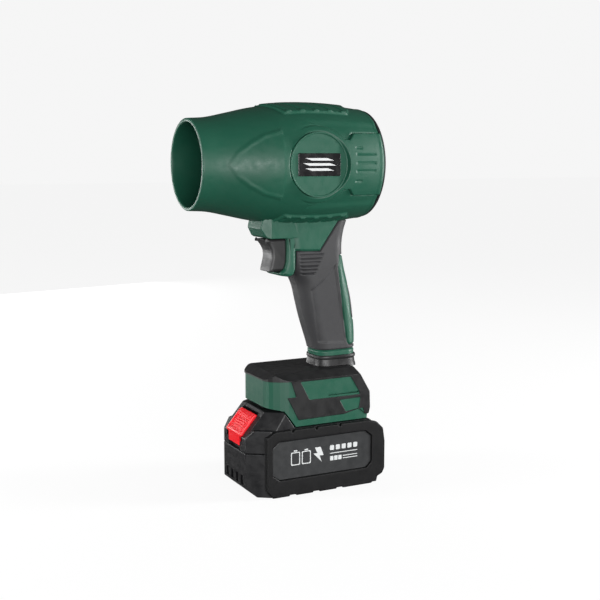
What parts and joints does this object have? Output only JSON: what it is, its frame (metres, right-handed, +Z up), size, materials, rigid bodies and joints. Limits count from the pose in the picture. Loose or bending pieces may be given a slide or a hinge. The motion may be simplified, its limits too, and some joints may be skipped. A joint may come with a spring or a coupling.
{
  "type": "cordless handheld leaf blower",
  "caption": "Pistol-grip cordless leaf blower: a bulged jet barrel with an internal axial fan, trigger handle, and a slide-on battery pack that it stands on.",
  "frame": {"origin": "on the surface the battery pack stands on, at the middle of the pack's side bumpers, on the tool's middle plane", "axes": "+X is the way the air leaves the barrel, +Y the left side of the tool, +Z up"},
  "size_m": [0.1638, 0.1, 0.3223],
  "materials": {
    "green_shell": "satin moulded dark green ABS",
    "soft_grip": "matte dark grey soft-touch elastomer",
    "foot_cover": "dark elastomer, slightly glossy",
    "badge": "gloss black plate with pale airflow strokes",
    "black_nylon": "black glass-filled nylon",
    "isolation_rubber": "soft black rubber",
    "motor_metal": "machined aluminium",
    "bearing_steel": "ground steel",
    "lamination": "stacked steel laminations",
    "copper": "enamelled copper",
    "magnet": "nickel-plated magnet",
    "trigger_plastic": "dark grey satin plastic",
    "switch_plastic": "black moulded switch",
    "screw_steel": "black-oxide steel screws",
    "spring_steel": "spring steel",
    "circuit_board": "green solder mask",
    "wire_insulation": "silicone wire insulation",
    "plug_metal": "tinned brass",
    "pack_case": "near-black fine-textured ABS",
    "pack_bumper": "black rubber bumper",
    "pack_label": "dark grey satin plate with pale pictogram",
    "release_red": "bright red moulded plastic",
    "cell_wrap": "shrink-wrapped steel cells",
    "cell_holder": "black cell holder",
    "nickel": "nickel strip"
  },
  "bodies": {
    "root": {"left_housing": "green_shell", "right_housing": "green_shell", "left_grip_overmould": "soft_grip", "right_grip_overmould": "soft_grip", "palm_pad": "soft_grip", "left_foot_cover": "foot_cover", "right_foot_cover": "foot_cover", "left_badge_plate": "badge", "right_badge_plate": "badge", "rear_grille": "black_nylon", "fan_duct": "black_nylon", "tail_cone": "black_nylon", "isolation_rings": "isolation_rubber", "motor_can": "motor_metal", "motor_end_cap": "motor_metal", "motor_bearings": "bearing_steel", "stator_core": "lamination", "motor_windings": "copper", "trigger_spring": "spring_steel", "switch_module": "switch_plastic", "housing_screws": "screw_steel", "controller_tray": "motor_metal", "control_board": "circuit_board", "terminal_block": "switch_plastic", "terminal_blades": "plug_metal", "battery_leads": "wire_insulation", "switch_leads": "wire_insulation", "motor_leads": "wire_insulation"},
    "rotor": {"impeller": "black_nylon", "impeller_nut": "bearing_steel", "impeller_spinner": "black_nylon", "motor_shaft": "bearing_steel", "rotor_magnet": "magnet"},
    "trigger": {"trigger": "trigger_plastic", "trigger_plunger": "switch_plastic"},
    "battery": {"battery_lower_case": "pack_case", "battery_upper_case": "pack_case", "left_bumper": "pack_bumper", "right_bumper": "pack_bumper", "left_label_plate": "pack_label", "right_label_plate": "pack_label", "battery_screws": "screw_steel", "latch_spring": "spring_steel", "battery_cells": "cell_wrap", "left_cell_holder": "cell_holder", "right_cell_holder": "cell_holder", "nickel_strips": "nickel", "battery_board": "circuit_board", "battery_contacts": "plug_metal"},
    "release": {"release_button": "release_red", "latch_tongue": "switch_plastic"}
  },
  "joints": [
    {"name": "impeller_spin", "type": "hinge", "parent": "root", "child": "rotor", "pos_m": [0, 0, 0.2715], "axis": [1, 0, 0], "continuous": true},
    {"name": "trigger_pull", "type": "slide", "parent": "root", "child": "trigger", "axis": [-1, 0, 0], "range_m": [0, 0.006], "stiffness_N_per_m": 700, "springref_m": -0.003, "deforming": ["trigger_spring"]},
    {"name": "battery_slide", "type": "slide", "parent": "root", "child": "battery", "axis": [1, 0, 0], "range_m": [0, 0.085]},
    {"name": "release_press", "type": "slide", "parent": "battery", "child": "release", "axis": [0, 0, -1], "range_m": [0, 0.004], "stiffness_N_per_m": 900, "springref_m": -0.002, "deforming": ["latch_spring"]}
  ]
}
